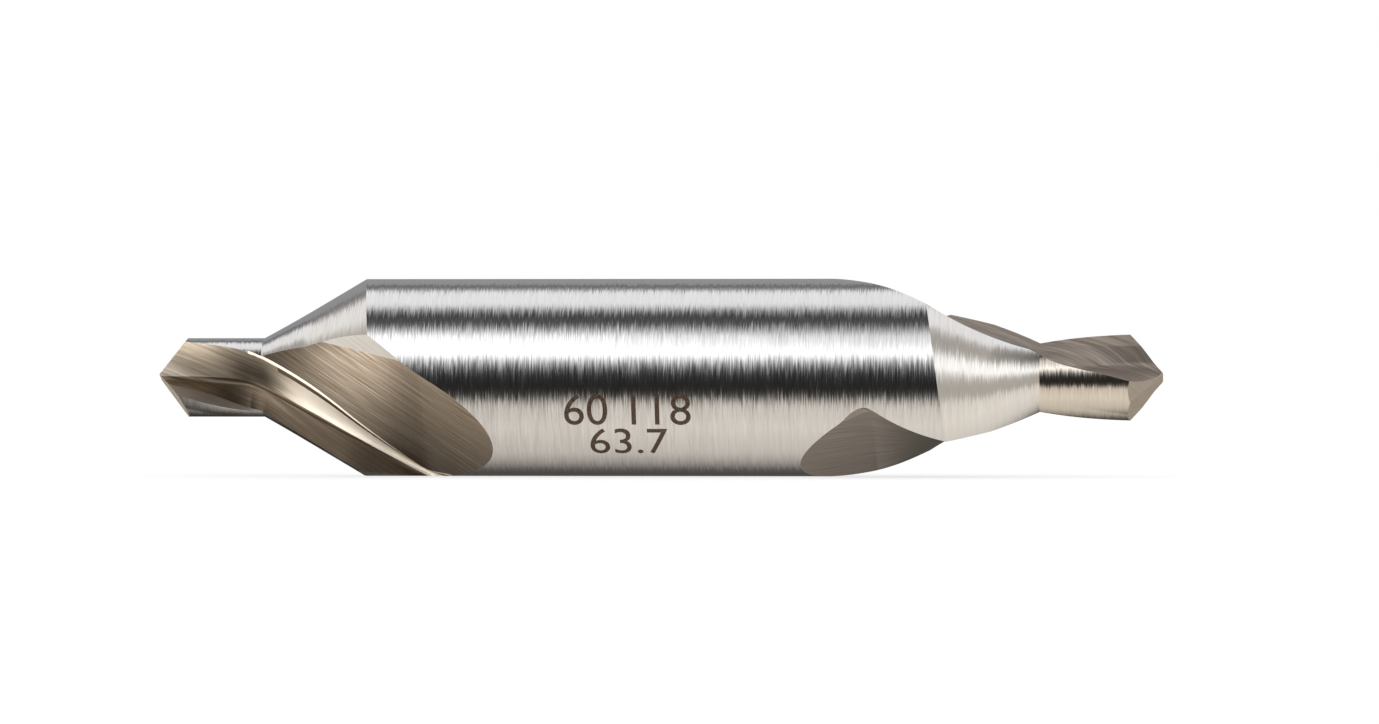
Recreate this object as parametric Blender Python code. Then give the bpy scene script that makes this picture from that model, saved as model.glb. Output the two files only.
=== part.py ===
"""Centre drill, double-ended, form A: a round body with a stepped drill on each end.

Each end has a pilot drill, a 60 degree countersink cone and two right-hand flutes.
The drill lies along X with its middle at the origin and +Z up. Sizes are in metres.

Each end is worked out in its own frame: the station is the distance from the tip,
and an azimuth of 0 points along -Y, 90 points along +Z. The frame of the second end
is turned about Z, and then about the drill's axis by END_PHASE.
"""

import math

import bmesh
import bpy
from mathutils import Matrix, Vector

MM = 0.001

# Driving sizes
BODY_DIAMETER = 12.5 * MM
OVERALL_LENGTH = 63.7 * MM
PILOT_DIAMETER = 5.0 * MM
PILOT_LENGTHS = (6.7 * MM, 7.75 * MM)
CONE_ANGLE = 60.0
POINT_ANGLE = 118.0
END_PHASE = -107.0

# A value for each end follows where the two ends differ.

# Point: the flanks meet in the chisel edge, so many degrees past the lips, and each
# land's heel is ground away once more
CHISEL_AZIMUTHS = (20.0, 44.0)
CHISEL_LEADS = (51.0, 43.0)
HEEL_FLANK_AZIMUTHS = (-12.0, 3.0)
HEEL_FLANK_RISES = (0.82, 1.0)
HEEL_FLANK_SETBACKS = (0.25 * MM, 0.30 * MM)

# Relief: the lands fall away behind the leading edge, by so much for each degree;
# at the neutral angle the cone has its nominal size
CONE_RELIEF_PER_DEGREE = (0.0063 * MM, 0.0088 * MM)
CONE_RELIEF_NEUTRAL = (16.0, 47.0)
CONE_RELIEF_FADE = 3.0 * MM
MARGIN_RISES = (0.18 * MM, 0.30 * MM)
MARGIN_DEGREES = 27.0
MARGIN_END = 0.8 * MM
LAND_DEGREES = 100.0
FLUTE_END_DEGREES = 150.0

# Flute groove: a V with a round root, which twists along the pilot and then
# runs out straight across the cone and the body
GROOVE_TURN = 0.8 * MM
GROOVE_ROOT = (0.08 * MM, 0.12 * MM)
GROOVE_ROOT_RADIUS = 1.2 * MM
GROOVE_SETTLE = 2.4 * MM
GROOVE_DRIFT = 1.2 * MM
GROOVE_FALL = 0.545
GROOVE_BEND = 5.2 * MM
GROOVE_BEND_RATE = 0.045 / MM
GROOVE_ROUNDING = 0.9
RAKE_AT_TURN = (-64.0, -44.0)
RAKE_SETTLED = (-70.0, -63.0)
RAKE_TWIST = (9.0 / MM, 6.0 / MM)
HEEL_AT_TURN = (44.0, 53.0)
HEEL_SETTLED = (56.0, 58.0)
HEEL_TWIST = (5.4 / MM, 5.6 / MM)
HEEL_RUNOUT_TWIST = 2.7 / MM
RIDGE_LEAST = 0.3 * MM
RIDGE_MOST = 8.0 * MM
RIDGE_FACING_LEAST = 0.2

# Facet ground along the pilot's leading edge
LIP_FACET_WIDTHS = (0.75 * MM, 0.5 * MM)
LIP_FACET_TILT = 18.0
LIP_FACET_LEAVE = 1.2

# Heel clearance: a wide ground face beside the groove, which comes up to the
# surface of the body behind the cone
CLEARANCE_START = 0.83 * MM
CLEARANCE_DEPTH = 1.93 * MM
CLEARANCE_RISE = 0.21
CLEARANCE_TWIST = 4.25 / MM
CLEARANCE_NORMAL = 3.0
CLEARANCE_TURN_END = 11.3 * MM
CLEARANCE_RUNOUT_RISE = 0.43
CLEARANCE_LEAVE_RISE = 0.5
FLUTE_RUNOUT = 18.5 * MM

# Bevel on the heel where the cone meets the body
BEVEL_HEIGHT = 2.26 * MM
BEVEL_STATION = 4.1 * MM
BEVEL_FALL = 0.234
BEVEL_TILT = 8.0
BEVEL_LEAST = 0.05 * MM

# Fineness of the surfaces
COLUMNS = 96
PILOT_ROWS = 10
CONE_ROWS = 10
BODY_ROW = 3.0 * MM
ROOT_STEPS = 6
GROOVE_STEP = 0.48 * MM
OUTSIDE = 3.0 * MM

# Sizes worked out from the driving ones
BODY_RADIUS = BODY_DIAMETER / 2
PILOT_RADIUS = PILOT_DIAMETER / 2
CONE_SLOPE = math.tan(math.radians(CONE_ANGLE / 2))
POINT_RISE = 1 / math.tan(math.radians(POINT_ANGLE / 2))


def clear_scene():
    for item in list(bpy.data.objects):
        bpy.data.objects.remove(item, do_unlink=True)


def polar(station, radius, azimuth):
    """A point of the end's own frame, from the azimuth in degrees."""
    turn = math.radians(azimuth)
    return Vector((station, -radius * math.cos(turn), radius * math.sin(turn)))


def direction(azimuth):
    """The unit vector of an azimuth, in the plane of a cross-section."""
    turn = math.radians(azimuth)
    return Vector((math.cos(turn), math.sin(turn)))


def section_point(station, point):
    return Vector((station, -point.x, point.y))


def mesh_object(name, points, faces):
    mesh = bpy.data.meshes.new(name)
    mesh.from_pydata([tuple(point) for point in points], [], faces)
    work = bmesh.new()
    work.from_mesh(mesh)
    bmesh.ops.recalc_face_normals(work, faces=work.faces)
    work.to_mesh(mesh)
    work.free()
    made = bpy.data.objects.new(name, mesh)
    bpy.context.scene.collection.objects.link(made)
    return made


def settled(station, pilot_length):
    """How far the groove has come to its straight run, from 0 to 1."""
    past = station - (pilot_length - GROOVE_TURN)
    if past <= 0:
        return 0.0
    return 1 - math.exp(-past / GROOVE_SETTLE)


def bent(station, pilot_length):
    """The distance past the station where the groove bends towards its exit."""
    return max(0.0, station - (pilot_length + GROOVE_BEND))


def groove_walls(station, side):
    """The azimuths of the groove's two walls, leading wall first."""
    pilot_length = PILOT_LENGTHS[side]
    past = station - (pilot_length - GROOVE_TURN)
    share = settled(station, pilot_length)
    rake = RAKE_AT_TURN[side]
    heel = HEEL_AT_TURN[side]
    if past < 0:
        return rake - RAKE_TWIST[side] * past, heel - HEEL_TWIST[side] * past
    rake += (RAKE_SETTLED[side] - rake) * share
    heel += (HEEL_SETTLED[side] - heel) * share
    return rake, heel - HEEL_RUNOUT_TWIST * past


def groove_root(station, pilot_length):
    """The corner of the groove, before it is rounded."""
    past = max(0.0, station - (pilot_length - GROOVE_TURN))
    drift = GROOVE_DRIFT * settled(station, pilot_length)
    drift -= GROOVE_BEND_RATE * bent(station, pilot_length) ** 2
    return Vector((GROOVE_ROOT[0] + drift, GROOVE_ROOT[1] - GROOVE_FALL * past))


def clearance_line(station, pilot_length):
    """The normal azimuth and the distance from the axis of the clearance face."""
    start = pilot_length - CLEARANCE_START
    turned = min(max(station - start, 0.0), CLEARANCE_TURN_END)
    normal = CLEARANCE_NORMAL - CLEARANCE_TWIST * turned
    past = station - start
    if past < 0:
        return normal, CLEARANCE_DEPTH - CLEARANCE_LEAVE_RISE * past
    rise = CLEARANCE_RISE * turned + CLEARANCE_RUNOUT_RISE * (past - turned)
    return normal, CLEARANCE_DEPTH + rise


def leading_reach(station, side, radius):
    """How far the groove's leading wall runs from its corner to this radius."""
    way = direction(groove_walls(station, side)[0])
    root = groove_root(station, PILOT_LENGTHS[side])
    along = root.dot(way)
    inside = along * along - root.length_squared + radius * radius
    return math.sqrt(max(0.0, inside)) - along


def leading_azimuth(station, side, radius):
    """Where the groove's leading wall meets a circle of this radius."""
    way = direction(groove_walls(station, side)[0])
    edge = groove_root(station, PILOT_LENGTHS[side])
    edge = edge + way * leading_reach(station, side, radius)
    return math.degrees(math.atan2(edge.y, edge.x))


def lip_facet_reach(station, side):
    """Where the facet along the leading edge starts on the leading wall."""
    reach = leading_reach(station, side, PILOT_RADIUS)
    left = PILOT_LENGTHS[side] - station
    if left < 0:
        return reach - LIP_FACET_LEAVE * left
    return reach - LIP_FACET_WIDTHS[side] * min(1.0, 2 * left / PILOT_LENGTHS[side])


def behind_edge(azimuth, leading):
    """Degrees behind the nearest leading edge; a little ahead of it counts as less than 0.

    Inside the flute, past the land's heel, the value comes back to 0.
    """
    behind = (leading - azimuth) % 180
    if behind > FLUTE_END_DEGREES:
        return behind - 180
    if behind > LAND_DEGREES:
        return LAND_DEGREES * (FLUTE_END_DEGREES - behind) / (FLUTE_END_DEGREES - LAND_DEGREES)
    return behind


def pilot_radius(station, azimuth, side):
    leading = leading_azimuth(station, side, PILOT_RADIUS)
    behind = behind_edge(azimuth, leading)
    share = 1 - (station - MARGIN_END) / (PILOT_LENGTHS[side] - MARGIN_END)
    rise = MARGIN_RISES[side] * min(max(share, 0.0), 1.0)
    return PILOT_RADIUS + rise * max(0.0, 1 - max(behind, 0.0) / MARGIN_DEGREES)


def cone_radius(station, azimuth, side):
    past = station - PILOT_LENGTHS[side]
    full = PILOT_RADIUS + CONE_SLOPE * past
    leading = leading_azimuth(station, side, min(full, BODY_RADIUS))
    behind = behind_edge(azimuth, leading) - CONE_RELIEF_NEUTRAL[side]
    share = min(1.0, past / CONE_RELIEF_FADE)
    return full - CONE_RELIEF_PER_DEGREE[side] * behind * share


def cone_end(azimuth, side):
    """The station where the relieved cone comes out to the body's radius."""
    station = PILOT_LENGTHS[side] + (BODY_RADIUS - PILOT_RADIUS) / CONE_SLOPE
    for _ in range(6):
        station += (BODY_RADIUS - cone_radius(station, azimuth, side)) / CONE_SLOPE
    return station


def end_column(azimuth, side):
    """The outline of one end at one azimuth, from the tip to the body."""
    pilot_length = PILOT_LENGTHS[side]
    column = []
    for row in range(PILOT_ROWS + 1):
        station = pilot_length * row / PILOT_ROWS
        column.append((station, pilot_radius(station, azimuth, side)))
    full_cone = pilot_length + (BODY_RADIUS - PILOT_RADIUS) / CONE_SLOPE
    last = cone_end(azimuth, side)
    for row in range(1, CONE_ROWS + 1):
        station = pilot_length + (last - pilot_length) * row / CONE_ROWS
        column.append((station, cone_radius(station, azimuth, side)))
    column[-1] = (last, BODY_RADIUS)
    column.append((full_cone + BODY_ROW, BODY_RADIUS))
    return column


def build_blank(frames):
    """The relieved blank of both ends and the body, as one closed surface."""
    points = []
    rings = []
    for side, frame in enumerate(frames):
        turned = frame.inverted()
        columns = []
        for index in range(COLUMNS):
            seen = polar(0, 1, 360 * index / COLUMNS)
            local = turned.to_3x3() @ seen
            azimuth = math.degrees(math.atan2(local.z, -local.y))
            outline = end_column(azimuth, side)
            columns.append([frame @ polar(station, radius, azimuth)
                            for station, radius in outline])
        rows = [[column[row] for column in columns] for row in range(len(columns[0]))]
        rings.extend(rows if side == 0 else reversed(rows))
    for ring in rings:
        points.extend(ring)
    faces = [list(range(COLUMNS))]
    for row in range(len(rings) - 1):
        for index in range(COLUMNS):
            after = (index + 1) % COLUMNS
            low = row * COLUMNS
            faces.append([low + index, low + after,
                          low + COLUMNS + after, low + COLUMNS + index])
    last = (len(rings) - 1) * COLUMNS
    faces.append([last + index for index in range(COLUMNS)])
    return mesh_object("centre_drill", points, faces)


def root_arc(root, rake, heel, radius):
    """The rounded root of the groove, from the leading wall to the heel wall."""
    half = math.radians(heel - rake) / 2
    centre = root + direction((rake + heel) / 2) * (radius / math.sin(half))
    first = rake - 90
    sweep = (heel + 90) - (rake - 90) - 360
    steps = [first + sweep * step / ROOT_STEPS for step in range(ROOT_STEPS + 1)]
    return [centre + direction(azimuth) * radius for azimuth in steps]


def flute_section(station, side):
    """The outline of the ground-away region at one station, as section points."""
    pilot_length = PILOT_LENGTHS[side]
    rake, heel = groove_walls(station, side)
    root = groove_root(station, pilot_length)
    normal, depth = clearance_line(station, pilot_length)
    facing = direction(normal)
    slant = max(direction(heel).dot(facing), RIDGE_FACING_LEAST)
    ridge_reach = min(max((depth - root.dot(facing)) / slant, RIDGE_LEAST), RIDGE_MOST)
    ridge = root + direction(heel) * ridge_reach
    half = math.radians(heel - rake) / 2
    radius = min(GROOVE_ROOT_RADIUS, GROOVE_ROUNDING * ridge_reach * math.tan(half))
    up = direction(normal + 90)
    height = BEVEL_HEIGHT - BEVEL_FALL * (station - pilot_length - BEVEL_STATION)
    bevel_reach = max((height - ridge.y) / up.y, BEVEL_LEAST)
    bevel = ridge + up * bevel_reach
    far = BODY_DIAMETER + OUTSIDE
    lip = root + direction(rake) * lip_facet_reach(station, side)
    tilt = LIP_FACET_TILT * max(0.0, 1 - station / pilot_length)
    outline = [lip + direction(rake - min(tilt, LIP_FACET_TILT)) * far, lip]
    outline += root_arc(root, rake, heel, radius)
    outline += [ridge, bevel, bevel + direction(normal + BEVEL_TILT + 90) * far]
    outline += [direction(50) * 2 * far, direction(0) * 2 * far]
    return outline


def build_flute_cutter(name, frame, side):
    """The region that the grinding of one flute takes away."""
    start = -OUTSIDE
    end = PILOT_LENGTHS[side] + FLUTE_RUNOUT
    count = round((end - start) / GROOVE_STEP)
    points = []
    for step in range(count + 1):
        station = start + (end - start) * step / count
        points += [frame @ section_point(station, point)
                   for point in flute_section(station, side)]
    size = len(points) // (count + 1)
    faces = [list(range(size)), [count * size + index for index in range(size)]]
    for step in range(count):
        for index in range(size):
            after = (index + 1) % size
            low = step * size
            faces.append([low + index, low + after, low + size + after, low + size + index])
    return mesh_object(name, points, faces)


def build_point_cutter(name, frame, ridge_azimuth, rise, setback):
    """The region ahead of two flanks that meet in a ridge across the axis."""
    across = direction(ridge_azimuth - 90)
    along = direction(ridge_azimuth)
    wide = PILOT_DIAMETER
    outline = [(-wide, -OUTSIDE), (wide, -OUTSIDE), (wide, rise * wide - setback),
               (0, -setback), (-wide, rise * wide - setback)]
    points = []
    for end in (-wide, wide):
        points += [frame @ section_point(station, across * side + along * end)
                   for side, station in outline]
    faces = [list(range(5)), list(range(5, 10))]
    faces += [[index, (index + 1) % 5, 5 + (index + 1) % 5, 5 + index] for index in range(5)]
    return mesh_object(name, points, faces)


def cut(body, cutter):
    """Leave the cutter as a hidden wire body and take it off the drill."""
    cutter.hide_render = True
    cutter.display_type = "WIRE"
    taking = body.modifiers.new(cutter.name, "BOOLEAN")
    taking.operation = "DIFFERENCE"
    taking.solver = "EXACT"
    taking.object = cutter


def steel():
    material = bpy.data.materials.new("ground_steel")
    material.use_nodes = True
    shader = material.node_tree.nodes["Principled BSDF"]
    shader.inputs["Base Color"].default_value = (0.62, 0.61, 0.59, 1)
    shader.inputs["Metallic"].default_value = 1.0
    shader.inputs["Roughness"].default_value = 0.3
    return material


def end_frames():
    """The places of the two ends' own frames."""
    half = OVERALL_LENGTH / 2
    near = Matrix.Translation((-half, 0, 0))
    far = Matrix.Translation((half, 0, 0))
    phase = Matrix.Rotation(math.radians(-END_PHASE), 4, "X")
    return near, far @ phase @ Matrix.Rotation(math.pi, 4, "Z")


def build():
    clear_scene()
    frames = end_frames()
    drill = build_blank(frames)
    half_turn = Matrix.Rotation(math.pi, 4, "X")
    for side, frame in enumerate(frames):
        cut(drill, build_flute_cutter(f"flute_{side}a", frame, side))
        cut(drill, build_flute_cutter(f"flute_{side}b", frame @ half_turn, side))
        flank_rise = POINT_RISE / math.sin(math.radians(CHISEL_LEADS[side]))
        cut(drill, build_point_cutter(f"flank_{side}", frame, CHISEL_AZIMUTHS[side],
                                      flank_rise, 0))
        cut(drill, build_point_cutter(f"heel_flank_{side}", frame, HEEL_FLANK_AZIMUTHS[side],
                                      HEEL_FLANK_RISES[side], HEEL_FLANK_SETBACKS[side]))
    drill.data.materials.append(steel())
    drill.data.shade_smooth()
    drill.data.set_sharp_from_angle(angle=math.radians(20))


build()
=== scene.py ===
import math

import bmesh
import bpy
from mathutils import Matrix, Vector


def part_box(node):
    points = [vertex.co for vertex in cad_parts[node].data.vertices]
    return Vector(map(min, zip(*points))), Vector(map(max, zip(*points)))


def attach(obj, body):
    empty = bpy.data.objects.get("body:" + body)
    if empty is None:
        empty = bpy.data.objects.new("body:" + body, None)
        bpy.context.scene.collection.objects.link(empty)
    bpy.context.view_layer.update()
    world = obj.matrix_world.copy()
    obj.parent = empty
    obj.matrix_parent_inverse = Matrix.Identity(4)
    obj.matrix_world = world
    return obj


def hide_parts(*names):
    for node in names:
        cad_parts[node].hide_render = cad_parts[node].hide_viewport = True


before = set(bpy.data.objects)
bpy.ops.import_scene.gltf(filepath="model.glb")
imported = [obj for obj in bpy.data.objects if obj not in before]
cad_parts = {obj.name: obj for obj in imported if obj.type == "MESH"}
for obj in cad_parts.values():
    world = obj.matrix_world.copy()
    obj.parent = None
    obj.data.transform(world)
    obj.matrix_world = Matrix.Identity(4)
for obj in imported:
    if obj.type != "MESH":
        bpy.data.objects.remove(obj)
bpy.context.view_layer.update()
mm = 0.001
cadLow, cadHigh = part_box("centre_drill")


# the drill itself; a pair of values is for the shorter pilot's end and the longer one's
drill = {
    "length": cadHigh.x - cadLow.x,
    "bodyRadius": (cadHigh.z - cadLow.z) / 2,
    "pilotRadius": 2.5 * mm,
    "pilotLengths": (6.7 * mm, 7.75 * mm),
    "coneSlope": math.tan(math.radians(30)),  # a 60 degree countersink
    "pointRise": 1 / math.tan(math.radians(59)),  # a 118 degree point
    "chiselAzimuths": (20, 44),
    "chiselLeads": (51, 43),  # degrees from the chisel edge to the cutting lips
    "heelFlankAzimuths": (-12, 3),
    "heelFlankRises": (0.82, 1.0),
    "heelFlankSetbacks": (0.25 * mm, 0.30 * mm),
    "endPhase": -107,  # the second end's turn against the first
    "columns": 216,
    "pilotRows": 24,
    "coneRows": 30,
    "coneEndSteps": 8,  # steps to find where the relieved cone meets the body
    "bodyRow": 3.0 * mm,
    "sharpAngle": 20,
}


def polarPoint(station, radius, azimuth):  # azimuth 0 faces the viewer, 90 is up
    turn = math.radians(azimuth)
    return Vector((station, -radius * math.cos(turn), radius * math.sin(turn)))


def direction(azimuth):  # a way in a section across the drill, 0 towards the viewer
    turn = math.radians(azimuth)
    return Vector((math.cos(turn), math.sin(turn)))


def sectionPoint(station, point):
    return Vector((station, -point.x, point.y))


# the two flutes of an end; each wall's way out from the root is in degrees, 0 towards the viewer
groove = {
    "turn": 0.8 * mm,  # before the cone the groove turns from its twist to its straight run
    "ease": 0.9 * mm,  # how softly it turns
    "root": (0.08 * mm, 0.12 * mm),  # its bottom on the pilot, towards the viewer and up
    "rootRadius": 1.2 * mm,
    "rootShare": 0.85,  # of the narrower wall, at most
    "hollow": (0.5 * mm, 0.9),  # the heel wall's hollow grind, from the rake wall to near the ridge
    "paintedShadeSteps": 4,  # steps of the root painted as dark as the rake wall, a painted shade
    "lineStart": 1.0 * mm,  # painted shade: a dark strip under the ridge from here on
    "hatchSlopes": (0.40, 0.667),  # of the grinding lines, on the pilot and past it
    "settle": 2.4 * mm,  # past the turn the walls and the root settle over about this length
    "drift": 1.2 * mm,  # of the root, towards the viewer
    "fall": 0.545,  # of the root, for each unit along the drill
    "bend": 5.2 * mm,  # this far past the pilot the root begins to bend back
    "bendRate": 0.045 / mm,
    "rakeAtTurn": (-64, -44),
    "rakeSettled": (-70, -63),
    "rakeTwist": (9.0 / mm, 6.0 / mm),
    "heelAtTurn": (44, 53),
    "heelSettled": (56, 58),
    "heelTwist": (5.4 / mm, 5.6 / mm),
    "heelRunoutTwist": 2.7 / mm,
    "ridgeLeast": 0.3 * mm,  # from the root to the ridge
    "ridgeMost": 8.0 * mm,
    "facingLeast": 0.2,  # the least cosine between the heel wall and the clearance face's normal
    "ridgeChamfer": 0.17 * mm,
    "chamferShare": 0.05,  # of the heel wall, at most
    "rootSteps": 14,
    "step": 0.15 * mm,  # from one section of a cutter to the next
    "outside": 3.0 * mm,  # how far a cutter stands out of the drill
    "openCorners": (50, 0),  # the cutter's two corners on the flute's open side
    "runout": 18.5 * mm,  # past the pilot, where a cutter ends
}


def pastTurn(station, side):  # how far along the straight run, eased into it from 0
    past = station - (drill["pilotLengths"][side] - groove["turn"])
    return (past + math.hypot(past, groove["ease"])) / 2


def settled(station, side):  # 0 on the pilot, 1 on the groove's straight run
    return 1 - math.exp(-pastTurn(station, side) / groove["settle"])


def grooveWalls(station, side):
    past = pastTurn(station, side)
    before = drill["pilotLengths"][side] - groove["turn"] - station + past
    share = settled(station, side)
    rake = groove["rakeAtTurn"][side]
    heel = groove["heelAtTurn"][side]
    rake += (groove["rakeSettled"][side] - rake) * share + groove["rakeTwist"][side] * before
    heel += (groove["heelSettled"][side] - heel) * share + groove["heelTwist"][side] * before
    return rake, heel - groove["heelRunoutTwist"] * past


def grooveRoot(station, side):
    bent = max(0.0, station - (drill["pilotLengths"][side] + groove["bend"]))
    drift = groove["drift"] * settled(station, side) - groove["bendRate"] * bent ** 2
    fall = groove["fall"] * pastTurn(station, side)
    return Vector((groove["root"][0] + drift, groove["root"][1] - fall))


# the wide face beside each flute, a straight line in each section
clearance = {
    "start": 0.83 * mm,  # before the cone
    "depth": 1.93 * mm,  # from the axis, at its start
    "rise": 0.21,  # away from the axis, for each unit along the drill
    "twist": 4.25 / mm,
    "normal": 3,  # the way it faces at its start, in degrees
    "turnEnd": 11.3 * mm,  # from here on it turns no more, and runs out
    "ease": 0.4 * mm,
    "runoutRise": 0.43,
    "leaveRise": 0.5,  # before its start it lies clear of the drill
}


def clearanceLine(station, side):
    start = drill["pilotLengths"][side] - clearance["start"]
    past = station - start
    left = clearance["turnEnd"] - past
    turned = max(past + (left - math.hypot(left, clearance["ease"])) / 2, 0.0)
    normal = clearance["normal"] - clearance["twist"] * turned
    if past < 0:
        return normal, clearance["depth"] - clearance["leaveRise"] * past
    rise = clearance["rise"] * turned + clearance["runoutRise"] * (past - turned)
    return normal, clearance["depth"] + rise


def leadingReach(station, side, radius):
    way = direction(grooveWalls(station, side)[0])
    root = grooveRoot(station, side)
    along = root.dot(way)
    return math.sqrt(max(0.0, along * along - root.length_squared + radius * radius)) - along


def leadingAzimuth(station, side, radius):
    way = direction(grooveWalls(station, side)[0])
    edge = grooveRoot(station, side) + way * leadingReach(station, side, radius)
    return math.degrees(math.atan2(edge.y, edge.x))


# a narrow facet along each cutting lip
lipFacet = {
    "widths": (0.75 * mm, 0.5 * mm),  # on the pilot's outer half, then narrowing to the cone
    "tilt": 18,  # degrees at the point, and none at the cone
    "leave": 1.2,  # how steeply it leaves the drill past the cone's start
}


def lipFacetReach(station, side):
    pilotLength = drill["pilotLengths"][side]
    reach = leadingReach(station, side, drill["pilotRadius"])
    left = pilotLength - station
    if left < 0:
        return reach - lipFacet["leave"] * left
    return reach - lipFacet["widths"][side] * min(1.0, 2 * left / pilotLength)


# how the lands are relieved
relief = {
    "conePerDegree": (0.0063 * mm, 0.0088 * mm),  # the land falls away behind the leading edge
    "neutral": (16, 47),  # degrees behind it where the cone is neither high nor low
    "back": (100, 150),  # from the first the fall comes back, and by the second it is gone
    "backSlope": 2,
    "marginRises": (0.18 * mm, 0.30 * mm),  # of the pilot's margin, up to the leading edge
    "marginDegrees": 27,
    "marginEnd": 0.8 * mm,  # from here on the margin fades towards the cone
    "fade": 3.0 * mm,  # the cone's relief grows to the full over this length
}


def behindEdge(azimuth, leading):  # degrees behind the nearest of the two leading edges
    behind = (leading - azimuth) % 180
    turning, gone = relief["back"]
    if behind > gone:
        return behind - 180
    return min(behind, relief["backSlope"] * (gone - behind)) if behind > turning else behind


def pilotSurface(station, azimuth, side):
    pilotLength = drill["pilotLengths"][side]
    behind = behindEdge(azimuth, leadingAzimuth(station, side, drill["pilotRadius"]))
    share = 1 - (station - relief["marginEnd"]) / (pilotLength - relief["marginEnd"])
    rise = relief["marginRises"][side] * min(max(share, 0.0), 1.0)
    return drill["pilotRadius"] + rise * max(0.0, 1 - max(behind, 0.0) / relief["marginDegrees"])


def coneSurface(station, azimuth, side):
    past = station - drill["pilotLengths"][side]
    full = drill["pilotRadius"] + drill["coneSlope"] * past
    leading = leadingAzimuth(station, side, min(full, drill["bodyRadius"]))
    behind = behindEdge(azimuth, leading) - relief["neutral"][side]
    return full - relief["conePerDegree"][side] * behind * min(1.0, past / relief["fade"])


def endColumn(azimuth, side):
    pilotLength = drill["pilotLengths"][side]
    column = []
    for row in range(drill["pilotRows"] + 1):
        station = pilotLength * row / drill["pilotRows"]
        column.append((station, pilotSurface(station, azimuth, side)))
    fullCone = pilotLength + (drill["bodyRadius"] - drill["pilotRadius"]) / drill["coneSlope"]
    last = fullCone
    for _ in range(drill["coneEndSteps"]):
        last += (drill["bodyRadius"] - coneSurface(last, azimuth, side)) / drill["coneSlope"]
    for row in range(1, drill["coneRows"] + 1):
        station = pilotLength + (last - pilotLength) * row / drill["coneRows"]
        column.append((station, coneSurface(station, azimuth, side)))
    column[-1] = (last, drill["bodyRadius"])
    column.append((fullCone + drill["bodyRow"], drill["bodyRadius"]))
    return column


def makeMesh(name, points, faces, grind, finishes, materials, inward):
    mesh = bpy.data.meshes.new(name)
    mesh.from_pydata([tuple(point) for point in points], [], faces)
    for material in materials:
        mesh.materials.append(material)
    mesh.polygons.foreach_set("material_index", finishes)
    work = bmesh.new()
    work.from_mesh(mesh)
    bmesh.ops.recalc_face_normals(work, faces=work.faces)
    work.to_mesh(mesh)
    work.free()
    mesh.shade_smooth()
    mesh.set_sharp_from_angle(angle=math.radians(drill["sharpAngle"]))
    facing = -1 if inward else 1
    normals = [facing * share for corner in mesh.corner_normals for share in corner.vector]
    lines = [share for loop in mesh.loops for share in grind[loop.vertex_index]]
    mesh.uv_layers.new(name="grind")
    mesh.attributes.new("trueNormal", "FLOAT_VECTOR", "CORNER")
    mesh.uv_layers["grind"].data.foreach_set("uv", lines)
    mesh.attributes["trueNormal"].data.foreach_set("vector", normals)
    made = bpy.data.objects.new(name, mesh)
    bpy.context.scene.collection.objects.link(made)
    return made


def buildBlank(frames, material):
    rings = []
    for side, place in enumerate(frames):
        turned = place.inverted().to_3x3()
        columns = []
        for index in range(drill["columns"]):
            local = turned @ polarPoint(0, 1, 360 * index / drill["columns"])
            azimuth = math.degrees(math.atan2(local.z, -local.y))
            columns.append([place @ polarPoint(station, radius, azimuth)
                            for station, radius in endColumn(azimuth, side)])
        rows = [[column[row] for column in columns] for row in range(len(columns[0]))]
        rings.extend(rows if side == 0 else reversed(rows))
    count = drill["columns"]
    points = [point for ring in rings for point in ring]
    faces = [list(range(count)), [len(points) - count + index for index in range(count)]]
    for low in range(0, len(points) - count, count):
        for index in range(count):
            after = (index + 1) % count
            faces.append([low + index, low + after, low + count + after, low + count + index])
    grind = [(point.x / mm, point.z / mm) for point in points]
    return makeMesh("centre_drill_fine", points, faces, grind, [0] * len(faces), [material], False)


def hollowCurve(root, rake, heel, reach):
    start = direction(rake) * groove["hollow"][0]
    end = direction(heel) * reach * groove["hollow"][1]
    shares = [step / groove["rootSteps"] for step in range(groove["rootSteps"] + 1)]
    return [root + start * (1 - share) ** 2 + end * share ** 2 for share in shares]


def rootArc(root, rake, heel, radius):
    half = math.radians(heel - rake) / 2
    centre = root + direction((rake + heel) / 2) * (radius / math.sin(half))
    sweep = heel - rake - 180
    return [centre + direction(rake - 90 + sweep * step / groove["rootSteps"]) * radius
            for step in range(groove["rootSteps"] + 1)]


# the small facet over each clearance face
bevel = {
    "height": 2.26 * mm,  # of its lower edge over the axis, at this station
    "station": 4.1 * mm,  # past the pilot
    "fall": 0.234,  # of that edge, for each unit along the drill
    "least": 2,  # times the ridge's chamfer
    "tilt": (8, 3),  # degrees against the clearance face
}


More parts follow.
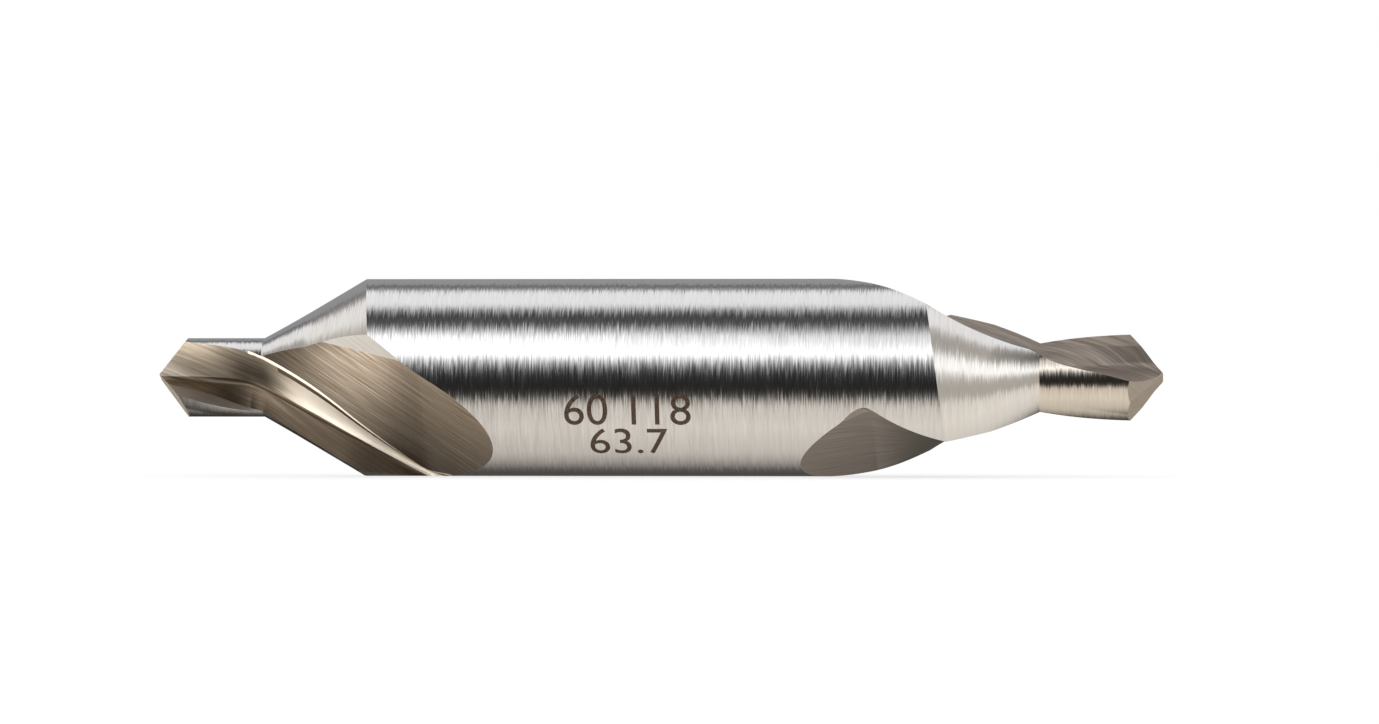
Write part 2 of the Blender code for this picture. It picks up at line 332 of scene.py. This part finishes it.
def fluteSection(station, side):
    pilotLength = drill["pilotLengths"][side]
    rake, heel = grooveWalls(station, side)
    root = grooveRoot(station, side)
    normal, depth = clearanceLine(station, side)
    facing = direction(normal)
    slant = max(direction(heel).dot(facing), groove["facingLeast"])
    ridgeReach = max((depth - root.dot(facing)) / slant, groove["ridgeLeast"])
    ridgeReach = min(ridgeReach, groove["ridgeMost"])
    ridge = root + direction(heel) * ridgeReach
    lipReach = lipFacetReach(station, side)
    half = math.radians(heel - rake) / 2
    narrower = min(ridgeReach, lipReach)
    radius = min(groove["rootRadius"], groove["rootShare"] * narrower * math.tan(half))
    up = direction(normal + 90)
    height = bevel["height"] - bevel["fall"] * (station - pilotLength - bevel["station"])
    top = ridge + up * max((height - ridge.y) / up.y, bevel["least"] * groove["ridgeChamfer"])
    far = 2 * drill["bodyRadius"] + groove["outside"]
    lip = root + direction(rake) * lipReach
    tilt = lipFacet["tilt"] * min(1.0, max(0.0, 1 - station / pilotLength))
    outline = [lip + direction(rake - tilt) * far, lip]
    hollow = min(max(station / pilotLength, 0.0), 1.0)
    tight = rootArc(root, rake, heel, radius)
    wide = hollowCurve(root, rake, heel, ridgeReach)
    outline += [near.lerp(away, hollow) for near, away in zip(tight, wide)]
    chamfer = min(groove["ridgeChamfer"], groove["chamferShare"] * ridgeReach)
    outline += [ridge - direction(heel) * chamfer, ridge + up * chamfer]
    outline += [top, top + direction(normal + bevel["tilt"][side] + 90) * far]
    return outline + [direction(corner) * 2 * far for corner in groove["openCorners"]]


def grindLine(station, height, side):  # across the hatch, and along the drill
    pilotLength = drill["pilotLengths"][side]
    onPilot = min(station, pilotLength)
    pilotSlope, coneSlope = groove["hatchSlopes"]
    run = pilotSlope * onPilot + coneSlope * (station - onPilot)
    return ((height + run) / mm, (station - pilotLength) / mm)


zoneFinishes = (  # the finish of each zone of a flute, at the one end and at the other
    ("flute", "lip", "clearance", "bevel", "ridge", "rake"),
    ("farFlute", "farFlute", "farClearance", "farClearance", "farClearance", "farFlute"),
)
zone = {name: place for place, name in enumerate(zoneFinishes[0])}


def buildFluteCutter(name, place, side, materials):
    start = -groove["outside"]
    end = drill["pilotLengths"][side] + groove["runout"]
    count = round((end - start) / groove["step"])
    points = []
    grind = []
    for step in range(count + 1):
        station = start + (end - start) * step / count
        for point in fluteSection(station, side):
            points.append(place @ sectionPoint(station, point))
            grind.append(grindLine(station, point.y, side))
    size = len(points) // (count + 1)
    arcEnd = groove["rootSteps"] + 2
    # painted shade: the root's first steps take the dark rake finish
    dark = 1 + groove["paintedShadeSteps"]
    zones = [zone["lip"]] + [zone["rake"]] * dark + [zone["flute"]] * (arcEnd - dark)
    zones += [zone["ridge"], zone["clearance"], zone["bevel"]]
    zones += [zone["flute"]] * (size - len(zones))
    lined = drill["pilotLengths"][side] + groove["lineStart"]
    faces = [list(range(size)), [count * size + index for index in range(size)]]
    finishes = [zone["flute"]] * 2
    for low in range(0, count * size, size):
        for index in range(size):
            after = (index + 1) % size
            faces.append([low + index, low + after, low + size + after, low + size + index])
            # painted shade: past lineStart the two faces under the ridge take the dark rake finish
            underRidge = index in (arcEnd - 1, arcEnd)
            pastStart = start + low / size * (end - start) / count > lined
            finishes.append(zone["rake"] if underRidge and pastStart else zones[index])
    return makeMesh(name, points, faces, grind, finishes, materials, True)


def buildPointCutter(name, place, azimuth, rise, setback, material):
    wide = 2 * drill["pilotRadius"]
    outline = [(-wide, -groove["outside"]), (wide, -groove["outside"]), (wide, rise * wide - setback),
               (0, -setback), (-wide, rise * wide - setback)]
    across, along = facet["flankGrind"]
    points = []
    grind = []
    for end in (-wide, wide):
        for side, station in outline:
            point = direction(azimuth - 90) * side + direction(azimuth) * end
            points.append(place @ sectionPoint(station, point))
            grind.append(((across * side + along * end) / mm, end / mm))
    count = len(outline)
    faces = [list(range(count)), list(range(count, 2 * count))]
    for index in range(count):
        after = (index + 1) % count
        faces.append([index, after, count + after, count + index])
    return makeMesh(name, points, faces, grind, [0] * len(faces), [material], True)


def buildDrill(finishes):
    half = drill["length"] / 2
    phase = Matrix.Rotation(math.radians(-drill["endPhase"]), 4, "X")
    turnRound = Matrix.Rotation(math.pi, 4, "Z")
    frames = (Matrix.Translation((-half, 0, 0)), Matrix.Translation((half, 0, 0)) @ phase @ turnRound)
    halfTurn = Matrix.Rotation(math.pi, 4, "X")
    blank = buildBlank(frames, finishes["ground"])
    cutters = []
    for side, place in enumerate(frames):
        fluteFinishes = [finishes[name] for name in zoneFinishes[side]]
        cutters.append(buildFluteCutter(f"flute{side}a", place, side, fluteFinishes))
        cutters.append(buildFluteCutter(f"flute{side}b", place @ halfTurn, side, fluteFinishes))
        flankRise = drill["pointRise"] / math.sin(math.radians(drill["chiselLeads"][side]))
        cutters.append(buildPointCutter(f"flank{side}", place, drill["chiselAzimuths"][side],
                                        flankRise, 0, finishes["flank"]))
        cutters.append(buildPointCutter(f"heelFlank{side}", place, drill["heelFlankAzimuths"][side],
                                        drill["heelFlankRises"][side], drill["heelFlankSetbacks"][side],
                                        finishes["flank"]))
    for cutter in cutters:
        taking = blank.modifiers.new(cutter.name, "BOOLEAN")
        taking.operation = "DIFFERENCE"
        taking.solver = "EXACT"
        taking.material_mode = "TRANSFER"
        taking.object = cutter
    graph = bpy.context.evaluated_depsgraph_get()
    shaped = bpy.data.meshes.new_from_object(blank.evaluated_get(graph))
    blank.modifiers.clear()
    blank.data = shaped
    for cutter in cutters:
        bpy.data.objects.remove(cutter, do_unlink=True)
    normals = [item.vector.normalized() for item in shaped.attributes["trueNormal"].data]
    shaped.normals_split_custom_set(normals)
    shaped.attributes.remove(shaped.attributes["trueNormal"])
    print("drill:", len(shaped.polygons), "faces,", len(shaped.materials), "finishes")
    return blank


class NodeBench:  # a short way to lay out one material's or world's nodes
    def __init__(self, tree):
        self.tree = tree

    def node(self, kind, **values):
        made = self.tree.nodes.new(kind)
        for key, value in values.items():
            setattr(made, key, value)
        return made

    def join(self, source, target):
        self.tree.links.new(source, target)

    def math(self, operation, first, second=None):
        made = self.node("ShaderNodeMath", operation=operation)
        for place, value in ((0, first), (1, second)):
            if value is None:
                continue
            if isinstance(value, (int, float)):
                made.inputs[place].default_value = value
            else:
                self.join(value, made.inputs[place])
        return made.outputs[0]

    def weigh(self, first, second, share):
        return self.math("ADD", self.math("MULTIPLY", first, share),
                         self.math("MULTIPLY", second, 1 - share))

    def vector(self, operation, first, second=None):
        made = self.node("ShaderNodeVectorMath", operation=operation)
        self.join(first, made.inputs[0])
        place = "Scale" if operation == "SCALE" else 1
        if isinstance(second, (float, tuple)):
            made.inputs[place].default_value = second
        elif second is not None:
            self.join(second, made.inputs[place])
        return made.outputs["Value" if operation == "DOT_PRODUCT" else "Vector"]

    def parts(self, vector):
        made = self.node("ShaderNodeSeparateXYZ")
        self.join(vector, made.inputs[0])
        return made.outputs

    def noise(self, vector, scale, detail, rough):
        made = self.node("ShaderNodeTexNoise")
        made.inputs["Scale"].default_value = 1.0
        made.inputs["Detail"].default_value = detail
        made.inputs["Roughness"].default_value = rough
        self.join(self.vector("MULTIPLY", vector, scale), made.inputs["Vector"])
        return made.outputs["Fac"]

    def spread(self, value, low, high, toLow=0.0, toHigh=1.0, kind="LINEAR"):
        made = self.node("ShaderNodeMapRange", interpolation_type=kind)
        made.inputs["From Min"].default_value = low
        made.inputs["From Max"].default_value = high
        made.inputs["To Min"].default_value = toLow
        made.inputs["To Max"].default_value = toHigh
        self.join(value, made.inputs["Value"])
        return made.outputs["Result"]

    def blend(self, factor, first, second, kind="MIX"):
        made = self.node("ShaderNodeMix", data_type="RGBA", blend_type=kind)
        for place, value in ((0, factor), (6, first), (7, second)):  # the node's colour sockets
            if isinstance(value, tuple):
                made.inputs[place].default_value = (*value, 1)
            elif isinstance(value, (int, float)):
                made.inputs[place].default_value = value
            else:
                self.join(value, made.inputs[place])
        return made.outputs[2]


def newMetal(name):
    material = bpy.data.materials.new(name)
    material.use_nodes = True
    shader = material.node_tree.nodes["Principled BSDF"]
    shader.inputs["Metallic"].default_value = 1.0
    return material, NodeBench(material.node_tree), shader


def bumpOf(bench, height, distance, shader):
    bump = bench.node("ShaderNodeBump")
    bump.inputs["Strength"].default_value = 1.0
    bump.inputs["Distance"].default_value = distance
    bench.join(height, bump.inputs["Height"])
    bench.join(bump.outputs["Normal"], shader.inputs["Normal"])


# the finishes; a noise is its scale along each axis, its detail and its roughness
steel = {
    "light": (0.70, 0.68, 0.66),
    "dark": (0.59, 0.57, 0.55),
    "straw": (1.0, 0.93, 0.83),  # the longer pilot is a little straw-coloured
    "strawEdge": (-0.3 * mm, 0.1 * mm),
    "smooth": 0.09,
    "rough": 0.22,
    "fineStreak": ((16000, 700, 700), 3.0, 0.6),
    "streak": ((6000, 260, 260), 4.0, 0.65),
    "cloud": ((110, 60, 60), 2.0, 0.5),
    "fineShare": 0.5,
    "streakShare": 0.6,  # the rest is the cloud's
    "contrast": (0.36, 0.66),
    "wobble": 0.30,  # how far the streaks lean the surface round the drill
}


def groundSteel():
    material, bench, shader = newMetal("groundSteel")
    place = bench.node("ShaderNodeTexCoord").outputs["Object"]
    fine = bench.noise(place, *steel["fineStreak"])
    streak = bench.noise(place, *steel["streak"])
    cloud = bench.noise(place, *steel["cloud"])
    streaks = bench.spread(bench.weigh(fine, streak, steel["fineShare"]), *steel["contrast"])
    shade = bench.weigh(streaks, cloud, steel["streakShare"])
    pilotStart = drill["length"] / 2 - drill["pilotLengths"][1]
    strawEdge = [pilotStart + edge for edge in steel["strawEdge"]]
    straw = bench.spread(bench.parts(place)["X"], *strawEdge)
    colour = bench.blend(shade, steel["light"], steel["dark"])
    warmed = bench.blend(1.0, colour, steel["straw"], "MULTIPLY")
    bench.join(bench.blend(straw, colour, warmed), shader.inputs["Base Color"])
    rough = bench.spread(streaks, 0.0, 1.0, steel["smooth"], steel["rough"])
    bench.join(rough, shader.inputs["Roughness"])
    surface = bench.node("ShaderNodeNewGeometry").outputs["Normal"]
    roundDrill = bench.vector("CROSS_PRODUCT", surface, (1, 0, 0))
    lean = bench.math("MULTIPLY", bench.math("SUBTRACT", fine, 0.5), steel["wobble"])
    leant = bench.vector("ADD", surface, bench.vector("SCALE", roundDrill, lean))
    bench.join(bench.vector("NORMALIZE", leant), shader.inputs["Normal"])
    return material


hatch = {
    "flute": ((0.84, 0.74, 0.60), (0.40, 0.32, 0.24), 0.42, 0.60),  # light, dark, smooth, rough
    "farFlute": ((0.50, 0.43, 0.37), (0.22, 0.185, 0.155), 0.48, 0.66),
    "farClearance": ((0.50, 0.45, 0.40), (0.27, 0.235, 0.205), 0.28, 0.46),
    "clearance": ((0.40, 0.33, 0.255), (0.165, 0.125, 0.09), 0.22, 0.42),
    # the rake wall's colour is partly the flutes' own bronze tone and partly painted shade, darker than
    # the other flute walls
    "rake": ((0.27, 0.205, 0.145), (0.12, 0.088, 0.058), 0.26, 0.44),
    "paintedHighlightBand": ((1.0, 0.95, 0.86), (0.95, 0.86, 0.73), 1.1, 2.8),  # a painted highlight band past the pilot: light, dark, start, end in mm
    "ridgeShadow": (3.9, 9.6, 0.70),  # start and end across the hatch, depth
    "paintedShadePatch": (2.6, 0.0, 2.6),  # a painted shade patch, dark where the flute turns: middle, inner and outer reach
    "paintedShadeAlong": (-4.6, -0.9, 0.0, 2.3),  # where it begins, is full, fades and ends
    "paintedShadeColour": (0.030, 0.021, 0.014),
    "paintedShadeDepth": 0.90,
    "fineLine": ((22, 0.35, 1), 3.0, 0.6),
    "line": ((5.5, 0.14, 1), 3.0, 0.6),
    "fineShare": 0.6,
    "contrast": (0.35, 0.65),
    "scratchHeight": 0.010 * mm,
}


def paintedLightFlute(bench, across, along, lines, colour):  # painted highlight past the pilot, painted shade at the turn
    # painted highlight: the flute's colour turns near white past the pilot
    light, dark, start, end = hatch["paintedHighlightBand"]
    paintedHighlight = bench.blend(lines, dark, light)
    colour = bench.blend(bench.spread(along, start, end), colour, paintedHighlight)
    # painted shade: a dark patch blended in where the flute turns
    middle, inner, outer = hatch["paintedShadePatch"]
    begin, risen, falling, gone = hatch["paintedShadeAlong"]
    aside = bench.math("ABSOLUTE", bench.math("SUBTRACT", across, middle))
    wide = bench.spread(aside, inner, outer, hatch["paintedShadeDepth"], 0.0, "SMOOTHSTEP")
    rising = bench.spread(along, begin, risen, 0.0, 1.0, "SMOOTHSTEP")
    sinking = bench.spread(along, falling, gone, 1.0, 0.0, "SMOOTHSTEP")
    paintedShadePatch = bench.math("MULTIPLY", wide, bench.math("MULTIPLY", rising, sinking))
    return bench.blend(paintedShadePatch, colour, hatch["paintedShadeColour"])


def shadedClearance(bench, across, along, lines, colour):  # darker along the ridge
    start, end, depth = hatch["ridgeShadow"]
    shadow = bench.spread(across, start, end, depth, 0.0)
    return bench.blend(shadow, colour, (0.0, 0.0, 0.0))


def hatchedSteel(name, tint=None):
    material, bench, shader = newMetal(f"{name}Steel")
    light, dark, smooth, rough = hatch[name]
    place = bench.node("ShaderNodeUVMap", uv_map="grind").outputs["UV"]
    fine = bench.noise(place, *hatch["fineLine"])
    line = bench.noise(place, *hatch["line"])
    mixed = bench.weigh(fine, line, hatch["fineShare"])
    lines = bench.spread(mixed, *hatch["contrast"])
    colour = bench.blend(lines, dark, light)
    if tint:
        parts = bench.parts(place)
        colour = tint(bench, parts["X"], parts["Y"], lines, colour)
    bench.join(colour, shader.inputs["Base Color"])
    bench.join(bench.spread(lines, 0.0, 1.0, rough, smooth), shader.inputs["Roughness"])
    bumpOf(bench, mixed, hatch["scratchHeight"], shader)
    return material


facet = {
    "bevel": (1.0, 0.97, 0.92),
    "lip": (0.62, 0.555, 0.49),
    # the ridge chamfer's near-white colour is partly a painted highlight along the ridge
    "ridge": (1.0, 0.90, 0.76),
    "flank": (0.60, 0.53, 0.46),
    "rough": {"bevel": 0.52, "lip": 0.52, "ridge": 0.45, "flank": 0.75},
    "line": ((9, 0.4, 1), 3.0, 0.6),
    "contrast": (0.3, 0.7),
    "darkShare": 0.86,
    "scratchHeight": 0.002 * mm,
    "flankGrind": (0.8, 0.6),  # the way of the grinding lines on a point's flanks
}


def facetSteel(name):
    material, bench, shader = newMetal(f"{name}Steel")
    colour = facet[name]
    place = bench.node("ShaderNodeUVMap", uv_map="grind").outputs["UV"]
    line = bench.noise(place, *facet["line"])
    darker = tuple(facet["darkShare"] * share for share in colour)
    lines = bench.spread(line, *facet["contrast"])
    bench.join(bench.blend(lines, darker, colour), shader.inputs["Base Color"])
    shader.inputs["Roughness"].default_value = facet["rough"][name]
    bumpOf(bench, line, facet["scratchHeight"], shader)
    return material


# plain numbers on the body, in the dark brown of a burnt mark
marking = {
    "rows": (("60 118", 9.4), ("63.7", 30.6)),  # each row's top, in degrees below the middle
    "height": 2.03 * mm,
    "centre": -1.59 * mm,
    "above": 0.003 * mm,
    "slice": 0.12 * mm,  # the numbers are cut into strips, to bend round the body
    "weld": 0.0001 * mm,
    "curveSteps": 6,
    "dark": (0.055, 0.038, 0.026),
    "brown": (0.17, 0.115, 0.075),
    "grain": ((9000, 9000, 9000), 3.0, 0.7),
    "contrast": (0.35, 0.65),
    "metal": 0.6,
    "rough": 0.55,
}


def etchedSteel():
    material, bench, shader = newMetal("etchedSteel")
    place = bench.node("ShaderNodeTexCoord").outputs["Object"]
    grain = bench.spread(bench.noise(place, *marking["grain"]), *marking["contrast"])
    bench.join(bench.blend(grain, marking["dark"], marking["brown"]), shader.inputs["Base Color"])
    shader.inputs["Metallic"].default_value = marking["metal"]
    shader.inputs["Roughness"].default_value = marking["rough"]
    return material


def buildMarking(material):
    radius = drill["bodyRadius"] + marking["above"]
    for number, (words, topAngle) in enumerate(marking["rows"]):
        curve = bpy.data.curves.new(f"marks{number}", "FONT")
        curve.body = words
        curve.align_x = "CENTER"
        curve.resolution_u = marking["curveSteps"]
        writing = bpy.data.objects.new(f"marks{number}", curve)
        bpy.context.scene.collection.objects.link(writing)
        bpy.context.view_layer.update()
        mesh = bpy.data.meshes.new_from_object(writing)
        bpy.data.objects.remove(writing, do_unlink=True)
        tall = max(point.co.y for point in mesh.vertices)
        mesh.transform(Matrix.Scale(marking["height"] / tall, 4))
        work = bmesh.new()
        work.from_mesh(mesh)
        for step in range(1, int(marking["height"] / marking["slice"]) + 1):
            parts = work.verts[:] + work.edges[:] + work.faces[:]
            level = (0, step * marking["slice"], 0)
            bmesh.ops.bisect_plane(work, geom=parts, plane_co=level, plane_no=(0, 1, 0))
        for point in work.verts:
            azimuth = -topAngle - math.degrees((marking["height"] - point.co.y) / radius)
            point.co = polarPoint(marking["centre"] + point.co.x, radius, azimuth)
        bmesh.ops.remove_doubles(work, verts=work.verts, dist=marking["weld"])
        work.to_mesh(mesh)
        work.free()
        mesh.materials.clear()
        mesh.materials.append(material)
        mesh.shade_smooth()
        made = bpy.data.objects.new(f"etched_numbers_{number + 1}", mesh)
        bpy.context.scene.collection.objects.link(made)
        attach(made, "root")
    print("numbers:", len(marking["rows"]), "rows")


# the studio, as light seen in the drill's polished steel
studio = {
    "bands": (  # degrees round the drill's axis, 0 towards the camera and 90 up, and the light there
        (-180, 0.12), (-152, 0.08), (-136, 0.14), (-124, 0.34), (-114, 0.52), (-98, 0.78),
        (-60, 1.0), (-36, 0.90), (-30, 0.70), (-22, 0.09), (-14, 0.02), (2, 0.03), (9, 0.12),
        (14, 0.38), (20, 0.95), (27, 2.0), (48, 2.0), (56, 0.8), (64, 0.12), (76, 0.05),
        (84, 0.32), (94, 1.2), (118, 1.2), (126, 0.38), (133, 0.14), (142, 0.40), (165, 0.35),
        (180, 0.20),
    ),
    "brightest": 3.0,
    "cool": (0.97, 0.99, 1.03),  # from above
    "warm": (1.05, 1.0, 0.93),  # from below
    "shade": (0.40, -0.62, 0.68),  # a dark screen above the drill, to the right
    "shadeEdge": (0.86, 0.96),
    "shadeDepth": 0.93,
    "endLight": (1.17, 1.11, 1.01),  # an even light at both ends, in part over the bands
    "endEdge": (0.50, 0.80),
    "endShare": 0.5,
    "box": (-0.56, -0.42, -0.71),  # a soft box low in front, to the left
    "boxEdge": (0.93, 0.985),
    "boxLight": 2.6,
    "screen": (-0.40, -0.33, -0.17, -0.11),  # a dark screen low in front, from left to right
    "screenTop": (-0.3, -0.1),
    "screenDepth": 0.85,
    "floorSize": 3.0,
    "floorGap": 0.02 * mm,
    "floorColour": (0.32, 0.32, 0.32),
    "floorGlow": 0.70,  # for the camera alone
}


def buildWorld():
    world = bpy.data.worlds.new("studio")
    bpy.context.scene.world = world
    world.use_nodes = True
    bench = NodeBench(world.node_tree)
    background = world.node_tree.nodes["Background"]
    aim = bench.node("ShaderNodeTexCoord").outputs["Generated"]
    way = bench.parts(aim)
    angle = bench.math("ARCTAN2", way["Z"], bench.math("MULTIPLY", way["Y"], -1.0))
    ramp = bench.node("ShaderNodeValToRGB")
    bench.join(bench.spread(angle, -math.pi, math.pi), ramp.inputs["Fac"])
    stops = ramp.color_ramp.elements
    while len(stops) < len(studio["bands"]):
        stops.new(0.5)
    for stop, (degrees, _) in zip(stops, studio["bands"]):
        stop.position = (degrees + 180) / 360
    for stop, (degrees, light) in zip(stops, studio["bands"]):
        tint = studio["warm"] if degrees < 0 else studio["cool"]
        stop.color = (*[light / studio["brightest"] * share for share in tint], 1)
    glow = bench.vector("SCALE", ramp.outputs["Color"], studio["brightest"])
    atEnd = bench.math("ABSOLUTE", way["X"])
    evening = bench.spread(atEnd, *studio["endEdge"], 0.0, studio["endShare"])
    evened = bench.blend(evening, glow, studio["endLight"])
    toBox = bench.vector("DOT_PRODUCT", aim, studio["box"])
    box = bench.spread(toBox, *studio["boxEdge"], 0.0, studio["boxLight"])
    lit = bench.vector("ADD", evened, box)
    outer, full, least, inner = studio["screen"]
    low = bench.spread(way["Z"], *studio["screenTop"], studio["screenDepth"], 0.0)
    left = bench.spread(way["X"], outer, full)
    right = bench.spread(way["X"], least, inner, 1.0, 0.0)
    screen = bench.math("MULTIPLY", low, bench.math("MULTIPLY", left, right))
    screened = bench.blend(screen, lit, (0.0, 0.0, 0.0))
    toShade = bench.vector("DOT_PRODUCT", aim, studio["shade"])
    shade = bench.spread(toShade, *studio["shadeEdge"], 1.0, 1 - studio["shadeDepth"])
    total = bench.vector("SCALE", screened, shade)
    glossy = bench.node("ShaderNodeLightPath").outputs["Is Glossy Ray"]
    bench.join(bench.blend(glossy, (1, 1, 1), total), background.inputs["Color"])
    print("studio: light round the drill")


def buildFloor():
    size = studio["floorSize"]
    mesh = bpy.data.meshes.new("floor")
    corners = [(-size, -size, 0), (size, -size, 0), (size, size, 0), (-size, size, 0)]
    mesh.from_pydata(corners, [], [(0, 1, 2, 3)])
    floor = bpy.data.objects.new("floor", mesh)
    floor.location.z = cadLow.z - studio["floorGap"]
    bpy.context.scene.collection.objects.link(floor)
    floor.visible_glossy = False
    material = bpy.data.materials.new("paleFloor")
    material.use_nodes = True
    bench = NodeBench(material.node_tree)
    shader = material.node_tree.nodes["Principled BSDF"]
    shader.inputs["Base Color"].default_value = (*studio["floorColour"], 1)
    shader.inputs["Roughness"].default_value = 1.0
    shader.inputs["Specular IOR Level"].default_value = 0.0
    shader.inputs["Emission Color"].default_value = (1, 1, 1, 1)
    seen = bench.node("ShaderNodeLightPath").outputs["Is Camera Ray"]
    glow = bench.math("MULTIPLY", seen, studio["floorGlow"])
    bench.join(glow, shader.inputs["Emission Strength"])
    mesh.materials.append(material)
    print("studio: pale floor")


photo = {
    "width": 1379,
    "pixelsPerMetre": 15.78 / mm,  # at the drill's axis
    "distance": 0.43,
    "azimuth": 4,
    "aside": 30.2,  # pixels from the drill's middle to the middle of the frame
    "above": 15.5,
    "sensor": 36.0,
    "nearest": 0.01,
}


def buildCamera():
    camera = bpy.data.cameras.new("camera")
    camera.sensor_width = photo["sensor"]
    width = photo["width"] / photo["pixelsPerMetre"]
    camera.lens = photo["sensor"] * photo["distance"] / width
    camera.clip_start = photo["nearest"]
    turn = math.radians(photo["azimuth"])
    right = Vector((math.cos(turn), math.sin(turn), 0))
    back = Vector((math.sin(turn), -math.cos(turn), 0))
    target = (right * photo["aside"] + Vector((0, 0, photo["above"]))) / photo["pixelsPerMetre"]
    seen = bpy.data.objects.new("camera", camera)
    seen.location = target + back * photo["distance"]
    seen.rotation_euler = (math.pi / 2, 0, turn)
    bpy.context.scene.collection.objects.link(seen)
    bpy.context.scene.camera = seen
    print("camera:", photo["azimuth"], "degrees from square on")


finishes = {
    "ground": groundSteel(),
    "flute": hatchedSteel("flute", paintedLightFlute),
    "clearance": hatchedSteel("clearance", shadedClearance),
    "rake": hatchedSteel("rake"),
    "farFlute": hatchedSteel("farFlute"),
    "farClearance": hatchedSteel("farClearance"),
    "bevel": facetSteel("bevel"),
    "lip": facetSteel("lip"),
    "ridge": facetSteel("ridge"),
    "flank": facetSteel("flank"),
}
print("finishes:", len(finishes))
drillPiece = buildDrill(finishes)
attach(drillPiece, "root")
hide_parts("centre_drill")
buildMarking(etchedSteel())
buildWorld()
buildFloor()
buildCamera()
bpy.context.scene.view_settings.view_transform = "Standard"
